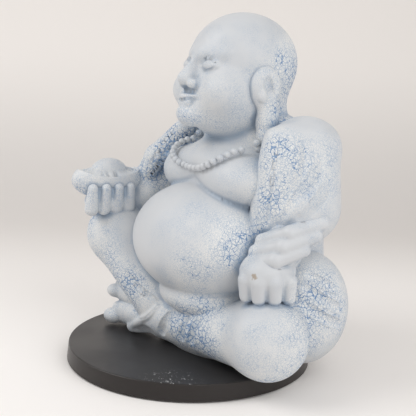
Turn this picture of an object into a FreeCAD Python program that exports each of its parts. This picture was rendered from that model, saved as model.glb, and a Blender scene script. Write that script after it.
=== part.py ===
"""Seated laughing Buddha figure carved from joined wooden blocks, on a round base that turns on a
ball bearing.

Millimetres. +Z is up, the figure faces -Y, and +X is the figure's own left.
The origin is on the axis the base turns about, at the level the rubber pad stands on.
The figure's blocks are laid out in the figure's own frame, whose origin is on the top of the
round base, and are moved to their place on the base at the end.
"""
import FreeCAD
import Part
import math
import os
from functools import partial

V = FreeCAD.Vector
UP = V(0, 0, 1)
FAR = 2000.0  # larger than anything here, for cutting solids
PAST = 1.0  # how far a drill or cutter runs past the face it cuts
TOUCHING = 1e-6
LIMB_SIZES = ("start", "end", "start_radius", "end_radius")
SEAM_TURNS = (90.0, 37.0, 143.0, 11.0, 201.0, 290.0)  # degrees, where a round shape's seam can lie
PROBES = 26  # per direction, of the points that say how much of a block a cut should leave
CUT_SLIP = 0.12  # share by which the volume taken off may differ from what those points say
LEAST_SLIP = 0.004  # the same, as a share of the whole block, for small cuts
BEAD_FEELERS = 90  # points of a bead's surface that feel for what it rests on
STRING_STEPS = 600  # places tried for beads, from the middle of the string to either end
JOINT_STEPS = 400  # places looked at along a dowel's line for the joint it crosses
GOLDEN_TURN = math.pi * (3.0 - math.sqrt(5.0))

# ---- round base -----------------------------------------------------------------------------
DISC_RADIUS = 150.0  # at the top edge
DISC_FLARE = 2.0  # how much wider the wall is at its lower edge
DISC_THICKNESS = 19.5
DISC_EDGE_ROUND = 1.2
SHADOW_GAP = 2.0  # between the floor and the disc's lower edge
RIM_WALL = 32.0  # from the disc's edge in to the hollow underneath
WEB_THICKNESS = 7.0  # of the disc above the hollow
FOOT_PLATE_GAP = 6.0  # radial, between the foot plate and the hollow
FOOT_PLATE_THICKNESS = 4.0
PAD_THICKNESS = 2.5
PAD_INSET = 2.0  # from the foot plate's edge to the rubber pad's

# ---- ball bearing ---------------------------------------------------------------------------
RACE_OUTER = 74.0
RACE_INNER = 50.0
RACE_THICKNESS = 2.0
BALL_RADIUS = 2.4
BALL_COUNT = 20
BALL_PLAY = 0.1  # clearance all round a ball
CAGE_THICKNESS = 1.6
CAGE_HALF_WIDTH = 6.0
RACE_SCREW_COUNT = 4
RACE_SCREW_INSET = 4.5  # from the race's inner edge to a screw
RACE_SCREW_RADIUS = 1.5
RACE_SCREW_HEAD = 2.8
RACE_SCREW_HEAD_HEIGHT = 1.2
RACE_SCREW_BITE = 3.0  # length of the screw in the board

# ---- screws that hold the figure to the base --------------------------------------------------
FIGURE_SCREW_RADIUS = 3.0
FIGURE_SCREW_BITE = 18.0  # length inside the figure
FIGURE_SCREW_HEAD = 5.5
FIGURE_SCREW_HEAD_HEIGHT = 3.0
WASHER_RADIUS = 8.0
WASHER_THICKNESS = 1.0
INSERT_WALL = 1.6
INSERT_LENGTH = 15.0
HEX_KEY_RADIUS = 2.3
HEX_KEY_DEPTH = 1.8
SCREW_TIP_ROOM = 2.0  # drilled beyond a screw's tip
SCREW_PLAY = 0.3  # clearance round a screw in the board
FIGURE_SCREWS = [(-22.0, 30.0), (38.0, 12.0), (4.0, -2.0)]  # on the base, from its axis

# ---- figure: trunk ----------------------------------------------------------------------------
FIGURE_AT = (21.0, 57.0)  # where the figure's seat is on the base
CHEST = dict(at=(0, 22, 205), size=(100, 66, 74))
BACK = dict(at=(0, 30, 140), size=(104, 62, 132))
HIPS = dict(at=(0, 20, 70), size=(116, 78, 92))
LAP = dict(at=(0, -14, 24), size=(104, 84, 46))
BELLY = dict(at=(4, -51, 134), size=(102, 86, 70))
LOWER_BELLY = dict(at=(14, -44, 72), size=(74, 67, 32))
BREAST = dict(at=(46, -32, 212), size=(57, 43, 34))  # the left one; the right one mirrors it
BREASTBONE = dict(at=(0, -26, 222), size=(58, 42, 36))
COLLAR = dict(at=(0, 20, 256), size=(82, 50, 34))

# ---- figure: head -----------------------------------------------------------------------------
CHIN_RISE = 50.0  # of the chin's underside above the chest's centre
HEAD_FORWARD = 22.0  # of the head's axis in front of the chest's
JAW_SIZE = (58.0, 54.0, 50.0)
JAW_FORWARD = 26.0
CRANIUM_SIZE = (61.0, 68.0, 60.0)
CRANIUM_RISE = 40.0  # above the jaw's centre
CRANIUM_FORWARD = 6.0
NECK_RADIUS = 46.0
NECK_TOP_RADIUS = 42.0
NECK_FOOT = (0, -8, 30)  # from the chest's centre
NECK_HEAD = (0, 4, -20)  # from the cranium's centre
EAR_SIZE = (12.0, 20.0, 26.0)
LOBE_SIZE = (14.0, 17.0, 29.0)
EAR_FORWARD = 6.0
LOBE_BACK = 4.0
LOBE_OUT = 4.0
EAR_SINK = 3.0  # of the ear's middle into the side of the head
EAR_DROP = 26.0  # of the ear's centre below the cranium's
LOBE_DROP = 42.0  # of the lobe's centre below the ear's

# ---- figure: limbs ----------------------------------------------------------------------------
LEFT_SHOULDER, LEFT_SHOULDER_RADIUS = (101, 14, 241), 44.0
LEFT_ELBOW, LEFT_ELBOW_RADIUS = (123, 4, 188), 43.0
LEFT_SLEEVE_RADIUS = 36.0
LEFT_WRIST, LEFT_WRIST_RADIUS = (130, -34, 138), 30.0
FIST_REACH = (-3, -12, -22)  # from the wrist to the fist's centre
FIST_SIZE = (30.0, 34.0, 28.0)
RIGHT_SHOULDER, RIGHT_SHOULDER_RADIUS = (-104, 2, 236), 45.0
RIGHT_ELBOW, RIGHT_ELBOW_RADIUS = (-138, -30, 168), 39.0
RIGHT_SLEEVE_RADIUS = 35.0
RIGHT_WRIST, RIGHT_WRIST_RADIUS = (-131, -88, 166), 25.0
PALM_REACH = (5, -35, 5)  # from the wrist to the open hand's centre
PALM_SIZE = (29.0, 34.0, 25.0)
INGOT_RISE = 20.0  # of the ingot's waist above the hand's centre
INGOT_SIZE = (27.0, 44.0, 17.0)
INGOT_DOME = (19.0, 25.0, 17.0)
INGOT_DOME_RISE = 12.0

# ---- figure: legs -----------------------------------------------------------------------------
LEFT_HIP, LEFT_HIP_RADIUS = (72, 2, 48), 46.0
LEFT_KNEE, LEFT_KNEE_RADIUS = (136, -48, 46), 45.0
LEFT_SHIN_RADIUS = 41.0
LEFT_ANKLE, LEFT_ANKLE_RADIUS = (-30, -84, 26), 25.0
LEFT_TOES, LEFT_TOES_RADIUS = (-112, -108, 16), 14.0
LEFT_HEEL, LEFT_HEEL_RADIUS = (-62, -98, 21), 18.0
RIGHT_HIP, RIGHT_HIP_RADIUS = (-50, -20, 60), 48.0
RIGHT_KNEE, RIGHT_KNEE_RADIUS = (-125, -110, 120), 39.0
RIGHT_SHIN_RADIUS = 37.0
RIGHT_ANKLE, RIGHT_ANKLE_RADIUS = (-50, -88, 43), 29.0
RIGHT_HEEL, RIGHT_HEEL_RADIUS = (-76, -96, 42), 18.0
RIGHT_TOES, RIGHT_TOES_RADIUS = (-116, -112, 41), 14.0

# ---- figure: sack and beads -------------------------------------------------------------------
SACK = dict(at=(106, 24, 66), size=(48, 54, 67))
BEAD_RADIUS = 4.2
BEAD_GAP = 0.2  # between neighbours
BEAD_GLUE = 0.3  # between a bead and what it rests on
STRING_HALF_WIDTH = 66.0
STRING_DROP = 39.5
STRING_TOP_RISE = 56.0  # of the string's ends above the chest's centre
STRING_SPAN = 0.92  # of a half turn, from one end under an earlobe to the other
STRING_REACH = 140.0  # how far in front of the chest's centre a bead starts from

# ---- dowels -----------------------------------------------------------------------------------
DOWEL_RADIUS = 6.0
DOWEL_HALF = 17.0
DOWEL_PLAY = 0.1  # glue line round a dowel
THIN_DOWEL_RADIUS = 3.5
THIN_DOWEL_HALF = 10.0


def vec(p):
    return V(*p)


def plus(p, q):
    return tuple(a + b for a, b in zip(p, q))


def mirrored(spec):
    x, y, z = spec["at"]
    return dict(at=(-x, y, z), size=spec["size"])


def ellipsoid(at, size, turn):
    ball = Part.makeSphere(1.0)
    ball.Placement = FreeCAD.Placement(V(0, 0, 0), FreeCAD.Rotation(UP, turn))
    stretch = FreeCAD.Matrix()
    stretch.scale(V(*size))
    solid = ball.transformGeometry(stretch)
    solid.translate(vec(at))
    return solid


def limb(start, end, start_radius, end_radius, turn):
    """A rounded, tapering bar: two balls and the cone that touches both, in one turned solid."""
    a, b = vec(start), vec(end)
    length = (b - a).Length
    slope = (start_radius - end_radius) / length
    flat = math.sqrt(1.0 - slope * slope)

    def on_ball(centre, radius, along, out):
        return V(radius * out, 0, centre + radius * along)

    bottom = V(0, 0, -start_radius)
    top = V(0, 0, length + end_radius)
    low = on_ball(0.0, start_radius, slope, flat)
    high = on_ball(length, end_radius, slope, flat)
    low_angle = (math.asin(slope) - math.pi / 2) / 2
    high_angle = (math.asin(slope) + math.pi / 2) / 2
    low_mid = on_ball(0.0, start_radius, math.sin(low_angle), math.cos(low_angle))
    high_mid = on_ball(length, end_radius, math.sin(high_angle), math.cos(high_angle))
    outline = Part.Wire([
        Part.Arc(bottom, low_mid, low).toShape(),
        Part.LineSegment(low, high).toShape(),
        Part.Arc(high, high_mid, top).toShape(),
        Part.LineSegment(top, bottom).toShape(),
    ])
    solid = Part.Face(outline).revolve(V(0, 0, 0), UP, 360.0)
    own_turn = FreeCAD.Rotation(UP, turn)
    solid.Placement = FreeCAD.Placement(a, FreeCAD.Rotation(UP, b - a).multiply(own_turn))
    return solid


def cylinder(radius, low, height, x=0.0, y=0.0):
    return Part.makeCylinder(radius, height, V(x, y, low))


def rod(middle, direction, radius, half):
    d = vec(direction)
    d.normalize()
    return Part.makeCylinder(radius, 2 * half, vec(middle) - d * half, d)


def holds(maker, point):
    """Whether the round shape that maker makes has the point inside it."""
    if maker.func is ellipsoid:
        centre, size = maker.keywords["at"], maker.keywords["size"]
        return sum(((p - c) / s) ** 2 for p, c, s in zip(point, centre, size)) < 1.0
    start, end, start_radius, end_radius = (maker.keywords[k] for k in LIMB_SIZES)
    axis = [b - a for a, b in zip(start, end)]
    length = math.hypot(*axis)
    arm = [p - a for p, a in zip(point, start)]
    along = sum(a * b for a, b in zip(arm, axis)) / length
    away = math.sqrt(max(0.0, sum(a * a for a in arm) - along * along))
    slope = (start_radius - end_radius) / length
    flat = math.sqrt(1.0 - slope * slope)
    place = along - away * slope / flat
    if place < 0.0:
        return math.hypot(along, away) < start_radius
    if place > length:
        return math.hypot(along - length, away) < end_radius
    return away * flat + along * slope < start_radius


def reach(maker):
    """The lowest and highest corner of what maker makes."""
    if maker.func is ellipsoid:
        balls = [(maker.keywords["at"], maker.keywords["size"])]
    else:
        start, end, start_radius, end_radius = (maker.keywords[k] for k in LIMB_SIZES)
        balls = [(start, (start_radius,) * 3), (end, (end_radius,) * 3)]
    low = [min(at[k] - size[k] for at, size in balls) for k in range(3)]
    high = [max(at[k] + size[k] for at, size in balls) for k in range(3)]
    return low, high


def probes(makers):
    """A lattice of points over everything the makers make, and the volume that each stands for."""
    corners = [reach(maker) for maker in makers]
    low = [min(c[0][k] for c in corners) for k in range(3)]
    high = [max(c[1][k] for c in corners) for k in range(3)]
    rows = [
        [low[k] + (high[k] - low[k]) * (i + 0.5) / PROBES for i in range(PROBES)] for k in range(3)
    ]
    points = [(x, y, z) for x in rows[0] for y in rows[1] for z in rows[2]]
    return points, math.prod(high[k] - low[k] for k in range(3)) / len(points)


def changed(solid, maker, action, expected):
    """solid joined to or cut by what maker makes, its seam laid where the result comes out whole,
    and whether it did; where no seam does it, the nearest result."""
    slip = max(CUT_SLIP * abs(expected - solid.Volume), LEAST_SLIP * max(expected, solid.Volume))
    nearest = None
    for turn in SEAM_TURNS:
        tool = maker(turn=turn)
        if not solid.BoundBox.intersect(tool.BoundBox):
            return solid, True
        result = getattr(solid, action)(tool)
        miss = abs(result.Volume - expected)
        if result.isValid() and miss < slip:
            return result, True
        if result.Solids and (nearest is None or miss < nearest[0]):
            nearest = miss, result
    return (solid if nearest is None else nearest[1]), False


def attempt(makers, cutters, stands, first_turn, last_try):
    """The makers' shapes joined, cut off level where the block stands on the base, then cut by the
    cutters' shapes; None if a step comes out wrong, unless this is the last try."""
    points, share = probes(makers)
    whole = makers[0](turn=first_turn)
    inside = [p for p in points if holds(makers[0], p)]
    outside = [p for p in points if not holds(makers[0], p)]
    for maker in makers[1:]:
        more = [p for p in outside if holds(maker, p)]
        whole, good = changed(whole, maker, "fuse", whole.Volume + len(more) * share)
        if not (good or last_try):
            return None
        inside += more
        outside = [p for p in outside if not holds(maker, p)]
    if stands:
        whole = above_base(whole)
        inside = [p for p in inside if p[2] > 0.0]
    for cutter in cutters:
        left = [p for p in inside if not holds(cutter, p)]
        gone = len(inside) - len(left)
        whole, good = changed(whole, cutter, "cut", whole.Volume - gone * share)
        if not (good or last_try):
            return None
        inside = left
    return largest(whole)


def block(makers, cutters, stands):
    for first_turn in SEAM_TURNS:
        whole = attempt(makers, cutters, stands, first_turn, False)
        if whole is not None:
            return whole
    return attempt(makers, cutters, stands, SEAM_TURNS[0], True)


def largest(shape):
    """The biggest solid of a cut, which leaves out chips that the cut took off."""
    return max(shape.Solids, key=lambda s: s.Volume)


def above_base(solid):
    below = Part.makeBox(FAR, FAR, FAR, V(-FAR / 2, -FAR / 2, -FAR))
    return solid.cut(below)


def ring_of(count, radius, phase=0.0):
    for k in range(count):
        turn = phase + 2 * math.pi * k / count
        yield radius * math.cos(turn), radius * math.sin(turn)


# ---- the round base ---------------------------------------------------------------------------
DISC_LOW = SHADOW_GAP
DISC_TOP = DISC_LOW + DISC_THICKNESS
HOLLOW_TOP = DISC_TOP - WEB_THICKNESS
HOLLOW_RADIUS = DISC_RADIUS - RIM_WALL
FOOT_PLATE_RADIUS = HOLLOW_RADIUS - FOOT_PLATE_GAP
FOOT_PLATE_TOP = PAD_THICKNESS + FOOT_PLATE_THICKNESS
LOWER_RACE_TOP = FOOT_PLATE_TOP + RACE_THICKNESS
UPPER_RACE_LOW = HOLLOW_TOP - RACE_THICKNESS
BALL_TRACK = (RACE_OUTER + RACE_INNER) / 2
BALL_LEVEL = (LOWER_RACE_TOP + UPPER_RACE_LOW) / 2
SCREW_CIRCLE = RACE_INNER + RACE_SCREW_INSET


def make_disc():
    lower = DISC_RADIUS + DISC_FLARE
    disc = Part.makeCone(lower, DISC_RADIUS, DISC_THICKNESS, V(0, 0, DISC_LOW))
    top_edges = [e for e in disc.Edges if e.BoundBox.ZMin > DISC_TOP - TOUCHING]
    disc = disc.makeFillet(DISC_EDGE_ROUND, top_edges)
    disc = disc.cut(cylinder(HOLLOW_RADIUS, DISC_LOW - PAST, HOLLOW_TOP - DISC_LOW + PAST))
    holes = [
        cylinder(FIGURE_SCREW_RADIUS + SCREW_PLAY, HOLLOW_TOP - PAST, WEB_THICKNESS + 2 * PAST, x, y)
        for x, y in FIGURE_SCREWS
    ]
    holes += [
        cylinder(RACE_SCREW_RADIUS, HOLLOW_TOP - PAST, RACE_SCREW_BITE + PAST, x, y)
        for x, y in ring_of(RACE_SCREW_COUNT, SCREW_CIRCLE, math.pi / 4)
    ]
    return disc.cut(holes)


def make_foot_plate():
    plate = cylinder(FOOT_PLATE_RADIUS, PAD_THICKNESS, FOOT_PLATE_THICKNESS)
    holes = [
        cylinder(RACE_SCREW_RADIUS, FOOT_PLATE_TOP - RACE_SCREW_BITE, RACE_SCREW_BITE + PAST, x, y)
        for x, y in ring_of(RACE_SCREW_COUNT, SCREW_CIRCLE)
    ]
    return plate.cut(holes)


def make_pad():
    return cylinder(FOOT_PLATE_RADIUS - PAD_INSET, 0.0, PAD_THICKNESS)


def make_race(low, phase):
    race = cylinder(RACE_OUTER, low, RACE_THICKNESS)
    race = race.cut(cylinder(RACE_INNER, low - PAST, RACE_THICKNESS + 2 * PAST))
    track = Part.makeTorus(BALL_TRACK, BALL_RADIUS + BALL_PLAY, V(0, 0, BALL_LEVEL), UP)
    holes = [
        cylinder(RACE_SCREW_RADIUS, low - PAST, RACE_THICKNESS + 2 * PAST, x, y)
        for x, y in ring_of(RACE_SCREW_COUNT, SCREW_CIRCLE, phase)
    ]
    return race.cut([track] + holes)


def make_race_screws(seat, direction, phase):
    """Four screws whose heads sit on the race at seat and whose shanks run in direction."""
    screws = []
    for x, y in ring_of(RACE_SCREW_COUNT, SCREW_CIRCLE, phase):
        length = RACE_THICKNESS + RACE_SCREW_BITE
        shank = Part.makeCylinder(RACE_SCREW_RADIUS, length, V(x, y, seat), UP * direction)
        head = Part.makeCylinder(
            RACE_SCREW_HEAD, RACE_SCREW_HEAD_HEIGHT, V(x, y, seat), UP * -direction
        )
        screws.append(shank.fuse(head))
    return screws


def make_balls():
    return [
        Part.makeSphere(BALL_RADIUS, V(x, y, BALL_LEVEL)) for x, y in ring_of(BALL_COUNT, BALL_TRACK)
    ]


def make_cage():
    low = BALL_LEVEL - CAGE_THICKNESS / 2
    cage = cylinder(BALL_TRACK + CAGE_HALF_WIDTH, low, CAGE_THICKNESS)
    cage = cage.cut(cylinder(BALL_TRACK - CAGE_HALF_WIDTH, low - PAST, CAGE_THICKNESS + 2 * PAST))
    pockets = [
        cylinder(BALL_RADIUS + BALL_PLAY, low - PAST, CAGE_THICKNESS + 2 * PAST, x, y)
        for x, y in ring_of(BALL_COUNT, BALL_TRACK)
    ]
    return cage.cut(pockets)


# ---- what holds the figure to the base ----------------------------------------------------------
def make_figure_screws():
    seat = HOLLOW_TOP - WASHER_THICKNESS
    screws = []
    for x, y in FIGURE_SCREWS:
        length = WASHER_THICKNESS + WEB_THICKNESS + FIGURE_SCREW_BITE
        shank = cylinder(FIGURE_SCREW_RADIUS, seat, length, x, y)
        low = seat - FIGURE_SCREW_HEAD_HEIGHT
        head = cylinder(FIGURE_SCREW_HEAD, low, FIGURE_SCREW_HEAD_HEIGHT, x, y)
        corners = [V(x + a, y + b, low - PAST) for a, b in ring_of(6, HEX_KEY_RADIUS)]
        key = Part.Face(Part.makePolygon(corners + corners[:1])).extrude(
            UP * (HEX_KEY_DEPTH + PAST)
        )
        screws.append(shank.fuse(head).cut(key))
    return screws


def make_washers():
    low = HOLLOW_TOP - WASHER_THICKNESS
    return [
        cylinder(WASHER_RADIUS, low, WASHER_THICKNESS, x, y).cut(
            cylinder(FIGURE_SCREW_RADIUS + SCREW_PLAY, low - PAST, WASHER_THICKNESS + 2 * PAST, x, y)
        )
        for x, y in FIGURE_SCREWS
    ]


def make_inserts():
    outer = FIGURE_SCREW_RADIUS + INSERT_WALL
    return [
        cylinder(outer, DISC_TOP, INSERT_LENGTH, x, y).cut(
            cylinder(FIGURE_SCREW_RADIUS, DISC_TOP - PAST, INSERT_LENGTH + 2 * PAST, x, y)
        )
        for x, y in FIGURE_SCREWS
    ]


def make_insert_pockets():
    """What is drilled out of the figure for the inserts and the screws' tips."""
    outer = FIGURE_SCREW_RADIUS + INSERT_WALL
    tips = FIGURE_SCREW_RADIUS + SCREW_PLAY
    deep = FIGURE_SCREW_BITE + SCREW_TIP_ROOM
    return [
        cylinder(outer, DISC_TOP - PAST, INSERT_LENGTH + PAST, x, y).fuse(
            cylinder(tips, DISC_TOP - PAST, deep + PAST, x, y)
        )
        for x, y in FIGURE_SCREWS
    ]


# ---- the figure's blocks, each cut to its neighbours --------------------------------------------
def head_places():
    x, y, z = CHEST["at"]
    jaw = (x, y - HEAD_FORWARD - JAW_FORWARD, z + CHIN_RISE + JAW_SIZE[2])
    cranium = (x, y - HEAD_FORWARD - CRANIUM_FORWARD, jaw[2] + CRANIUM_RISE)
    return jaw, cranium


def egg(at, size):
    return partial(ellipsoid, at=at, size=size)


def bar(*sizes):
    return partial(limb, **dict(zip(LIMB_SIZES, sizes)))


def raw_blocks():
    """The makers of each block's plain round shapes, before any is cut to its neighbours."""
    jaw, cranium = head_places()
    neck = bar(
        plus(CHEST["at"], NECK_FOOT), plus(cranium, NECK_HEAD), NECK_RADIUS, NECK_TOP_RADIUS
    )
    palm = plus(RIGHT_WRIST, PALM_REACH)
    waist = plus(palm, (0, 0, INGOT_RISE))
    trunk = [BACK, CHEST, HIPS, LAP, BELLY, LOWER_BELLY, BREASTBONE, BREAST, mirrored(BREAST)]
    trunk.append(COLLAR)
    raw = {
        "trunk": [egg(**p) for p in trunk],
        "left_leg": [
            bar(LEFT_HIP, LEFT_KNEE, LEFT_HIP_RADIUS, LEFT_KNEE_RADIUS),
            bar(LEFT_KNEE, LEFT_ANKLE, LEFT_SHIN_RADIUS, LEFT_ANKLE_RADIUS),
        ],
        "right_leg": [
            bar(RIGHT_HIP, RIGHT_KNEE, RIGHT_HIP_RADIUS, RIGHT_KNEE_RADIUS),
            bar(RIGHT_KNEE, RIGHT_ANKLE, RIGHT_SHIN_RADIUS, RIGHT_ANKLE_RADIUS),
        ],
        "left_foot": [bar(LEFT_HEEL, LEFT_TOES, LEFT_HEEL_RADIUS, LEFT_TOES_RADIUS)],
        "right_foot": [bar(RIGHT_HEEL, RIGHT_TOES, RIGHT_HEEL_RADIUS, RIGHT_TOES_RADIUS)],
        "left_sleeve": [bar(LEFT_SHOULDER, LEFT_ELBOW, LEFT_SHOULDER_RADIUS, LEFT_ELBOW_RADIUS)],
        "right_sleeve": [
            bar(RIGHT_SHOULDER, RIGHT_ELBOW, RIGHT_SHOULDER_RADIUS, RIGHT_ELBOW_RADIUS)
        ],
        "left_forearm": [bar(LEFT_ELBOW, LEFT_WRIST, LEFT_SLEEVE_RADIUS, LEFT_WRIST_RADIUS)],
        "right_forearm": [bar(RIGHT_ELBOW, RIGHT_WRIST, RIGHT_SLEEVE_RADIUS, RIGHT_WRIST_RADIUS)],
        "left_hand": [egg(plus(LEFT_WRIST, FIST_REACH), FIST_SIZE)],
        "ingot": [
            egg(waist, INGOT_SIZE),
            egg(plus(waist, (0, 0, INGOT_DOME_RISE)), INGOT_DOME),
        ],
        "right_hand": [egg(palm, PALM_SIZE)],
        "sack": [egg(**SACK)],
        "head": [egg(cranium, CRANIUM_SIZE), egg(jaw, JAW_SIZE), neck],
    }
    for name, side in (("left_ear", 1), ("right_ear", -1)):
        ear = plus(cranium, (side * (CRANIUM_SIZE[0] - EAR_SINK), -EAR_FORWARD, -EAR_DROP))
        lobe = plus(ear, (side * LOBE_OUT, LOBE_BACK, -LOBE_DROP))
        raw[name] = [egg(ear, EAR_SIZE), egg(lobe, LOBE_SIZE)]
    return raw


CUT_TO = {
    "trunk": [],
    "left_leg": ["trunk"],
    "right_leg": ["trunk", "left_leg"],
    "left_foot": ["trunk", "left_leg", "right_leg"],
    "right_foot": ["trunk", "left_leg", "right_leg", "left_foot"],
    "left_sleeve": ["trunk"],
    "right_sleeve": ["trunk"],
    "left_forearm": ["trunk", "left_sleeve", "left_leg"],
    "right_forearm": ["trunk", "right_sleeve", "right_leg"],
    "left_hand": ["trunk", "left_sleeve", "left_forearm", "left_leg"],
    "ingot": ["right_forearm"],
    "right_hand": ["right_forearm", "right_leg", "ingot"],
    "sack": ["trunk", "left_leg", "left_sleeve", "left_forearm", "left_hand"],
    "head": ["trunk", "left_sleeve", "right_sleeve"],
    "left_ear": ["trunk", "head", "left_sleeve"],
    "right_ear": ["trunk", "head", "right_sleeve"],
}
BESIDE_BEADS = ("trunk", "head", "left_ear", "right_ear", "left_sleeve", "right_sleeve")
ON_THE_BASE = ("trunk", "left_leg", "right_leg", "left_foot", "sack")


def spread(count):
    """Directions spread evenly over a ball."""
    for k in range(count):
        rise = 1.0 - 2.0 * (k + 0.5) / count
        out = math.sqrt(1.0 - rise * rise)
        yield out * math.cos(k * GOLDEN_TURN), out * math.sin(k * GOLDEN_TURN), rise


def make_beads(raw):
    """Beads strung round the neck, each pushed back from the front until it rests on a block."""
    x0, y0, z0 = CHEST["at"]
    near = [maker for name in BESIDE_BEADS for maker in raw[name]]
    skin = [tuple(c * (BEAD_RADIUS + BEAD_GLUE) for c in d) for d in spread(BEAD_FEELERS)]

    def rests(centre):
        return any(holds(maker, plus(centre, d)) for d in skin for maker in near)

    beads = []
    last = None
    for k in range(-STRING_STEPS, STRING_STEPS + 1):
        turn = math.pi / 2 * STRING_SPAN * k / STRING_STEPS
        x = x0 + STRING_HALF_WIDTH * math.sin(turn)
        z = z0 + STRING_TOP_RISE - STRING_DROP * math.cos(turn)
        y = y0 - STRING_REACH
        step = STRING_REACH / 8
        while step > BEAD_GLUE / 4:
            while y + step < y0 and not rests((x, y + step, z)):
                y += step
            step /= 2
        centre = V(x, y, z)
        if last is None or (centre - last).Length >= 2 * BEAD_RADIUS + BEAD_GAP:
            beads.append(Part.makeSphere(BEAD_RADIUS, centre))
            last = centre
    return beads


def make_figure(raw):
    """Every block of the figure, each cut to the raw shapes of the blocks named in CUT_TO."""
    made = {}
    for name, others in CUT_TO.items():
        cutters = [maker for other in others for maker in raw[other]]
        made[name] = block(raw[name], cutters, name in ON_THE_BASE)
    return made


def joint_between(inner, start, end):
    """Where the line from start to end first enters one of the inner block's shapes."""
    run = vec(end) - vec(start)
    for k in range(JOINT_STEPS):
        point = vec(start) + run * (k / JOINT_STEPS)
        if any(holds(maker, tuple(point)) for maker in inner):
            return tuple(point)
    return end


def make_dowels(raw, made):
    """Drills the blocks for a dowel across each glued joint and returns the dowels."""
    jaw = head_places()[0]
    neck = plus(CHEST["at"], NECK_FOOT)
    palm = plus(RIGHT_WRIST, PALM_REACH)
    fist = plus(LEFT_WRIST, FIST_REACH)
    thick = [
        ("trunk", (neck[0], neck[1], jaw[2]), neck),
        ("trunk", LEFT_SHOULDER, CHEST["at"]),
        ("trunk", RIGHT_SHOULDER, CHEST["at"]),
        ("trunk", LEFT_KNEE, HIPS["at"]),
        ("trunk", RIGHT_KNEE, HIPS["at"]),
        ("trunk", SACK["at"], HIPS["at"]),
        ("left_sleeve", LEFT_WRIST, LEFT_ELBOW),
        ("right_sleeve", RIGHT_WRIST, RIGHT_ELBOW),
    ]
    thin = [
        ("left_forearm", fist, LEFT_WRIST),
        ("right_forearm", palm, RIGHT_WRIST),
        ("ingot", palm, plus(palm, (0, 0, INGOT_RISE))),
        ("left_leg", LEFT_TOES, LEFT_HEEL),
        ("right_leg", RIGHT_TOES, RIGHT_HEEL),
    ]
    sized = [(DOWEL_RADIUS, DOWEL_HALF, row) for row in thick]
    sized += [(THIN_DOWEL_RADIUS, THIN_DOWEL_HALF, row) for row in thin]
    dowels = []
    for radius, half, (inner, start, end) in sized:
        middle = joint_between(raw[inner], start, end)
        direction = vec(end) - vec(start)
        hole = rod(middle, direction, radius + DOWEL_PLAY, half + DOWEL_PLAY)
        for name, solid in made.items():
            if solid.BoundBox.intersect(hole.BoundBox):
                made[name] = largest(solid.cut(hole))
        dowels.append(rod(middle, direction, radius, half))
    return dowels


def export(name, solids):
    shape = solids[0] if len(solids) == 1 else Part.makeCompound(solids)
    for solid in solids:
        if not solid.isValid():
            print("not valid:", name)
    shape.exportStep(os.path.join("parts", name + ".step"))
    volume = sum(s.Volume for s in solids)
    box = shape.BoundBox
    print(f"{name:22s} {len(solids):3d} solids {volume / 1000:9.1f} cm3 "
          f"z {box.ZMin:7.2f} to {box.ZMax:7.2f}")


def main():
    os.makedirs("parts", exist_ok=True)
    raw = raw_blocks()
    made = make_figure(raw)
    beads = make_beads(raw)
    dowels = make_dowels(raw, made)
    seat = V(FIGURE_AT[0], FIGURE_AT[1], DISC_TOP)
    for group in (list(made.values()), beads, dowels):
        for solid in group:
            solid.translate(seat)
    for name in ("trunk", "left_leg"):
        made[name] = largest(made[name].cut(make_insert_pockets()))

    export("base_disc", [make_disc()])
    export("foot_plate", [make_foot_plate()])
    export("rubber_pad", [make_pad()])
    export("lower_race", [make_race(FOOT_PLATE_TOP, 0.0)])
    export("upper_race", [make_race(UPPER_RACE_LOW, math.pi / 4)])
    export("bearing_balls", make_balls())
    export("ball_cage", [make_cage()])
    export("lower_race_screws", make_race_screws(LOWER_RACE_TOP, -1, 0.0))
    export("upper_race_screws", make_race_screws(UPPER_RACE_LOW, 1, math.pi / 4))
    export("figure_screws", make_figure_screws())
    export("washers", make_washers())
    export("threaded_inserts", make_inserts())
    for name, solid in made.items():
        export(name, [solid])
    export("prayer_beads", beads)
    export("dowels", dowels)


main()
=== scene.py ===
"""The looks of the seated laughing Buddha on its turning base.

The figure is carved here in its own millimetres: the origin is where the figure's middle meets the
top of the round base, +X is the figure's left, -Y is where it faces and +Z is up.
"""
import math

import bmesh
import bpy
import numpy as np
from mathutils import Euler, Matrix, Vector


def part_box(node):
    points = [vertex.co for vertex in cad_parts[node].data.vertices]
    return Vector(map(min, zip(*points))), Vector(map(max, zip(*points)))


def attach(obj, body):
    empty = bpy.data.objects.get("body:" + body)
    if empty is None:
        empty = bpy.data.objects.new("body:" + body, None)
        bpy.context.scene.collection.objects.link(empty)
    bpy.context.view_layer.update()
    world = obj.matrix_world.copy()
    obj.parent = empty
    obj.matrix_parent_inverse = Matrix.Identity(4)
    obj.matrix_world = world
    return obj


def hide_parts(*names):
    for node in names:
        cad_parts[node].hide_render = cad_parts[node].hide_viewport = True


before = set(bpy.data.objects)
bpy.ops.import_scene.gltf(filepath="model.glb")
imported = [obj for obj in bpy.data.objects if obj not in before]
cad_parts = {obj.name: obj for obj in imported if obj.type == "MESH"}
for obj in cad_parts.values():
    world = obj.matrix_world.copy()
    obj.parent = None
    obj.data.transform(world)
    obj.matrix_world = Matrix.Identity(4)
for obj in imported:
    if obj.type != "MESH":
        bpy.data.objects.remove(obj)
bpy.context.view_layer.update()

MM = 0.001  # the carving below is in millimetres, the scene in metres
SEAT_BEHIND = 20.0  # from the middle of the trunk's box back to the figure's own middle
trunk_low, trunk_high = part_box("trunk")
BOARD_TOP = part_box("base_disc")[1].z
SEAT = np.array([
    (trunk_low.x + trunk_high.x) / 2 / MM,
    (trunk_low.y + trunk_high.y) / 2 / MM + SEAT_BEHIND,
    BOARD_TOP / MM,
])


def on_figure(point):
    """The place in the scene, in metres, of a point given in the figure's own millimetres."""
    return [(c + s) / 1000 for c, s in zip(point, SEAT)]



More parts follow.
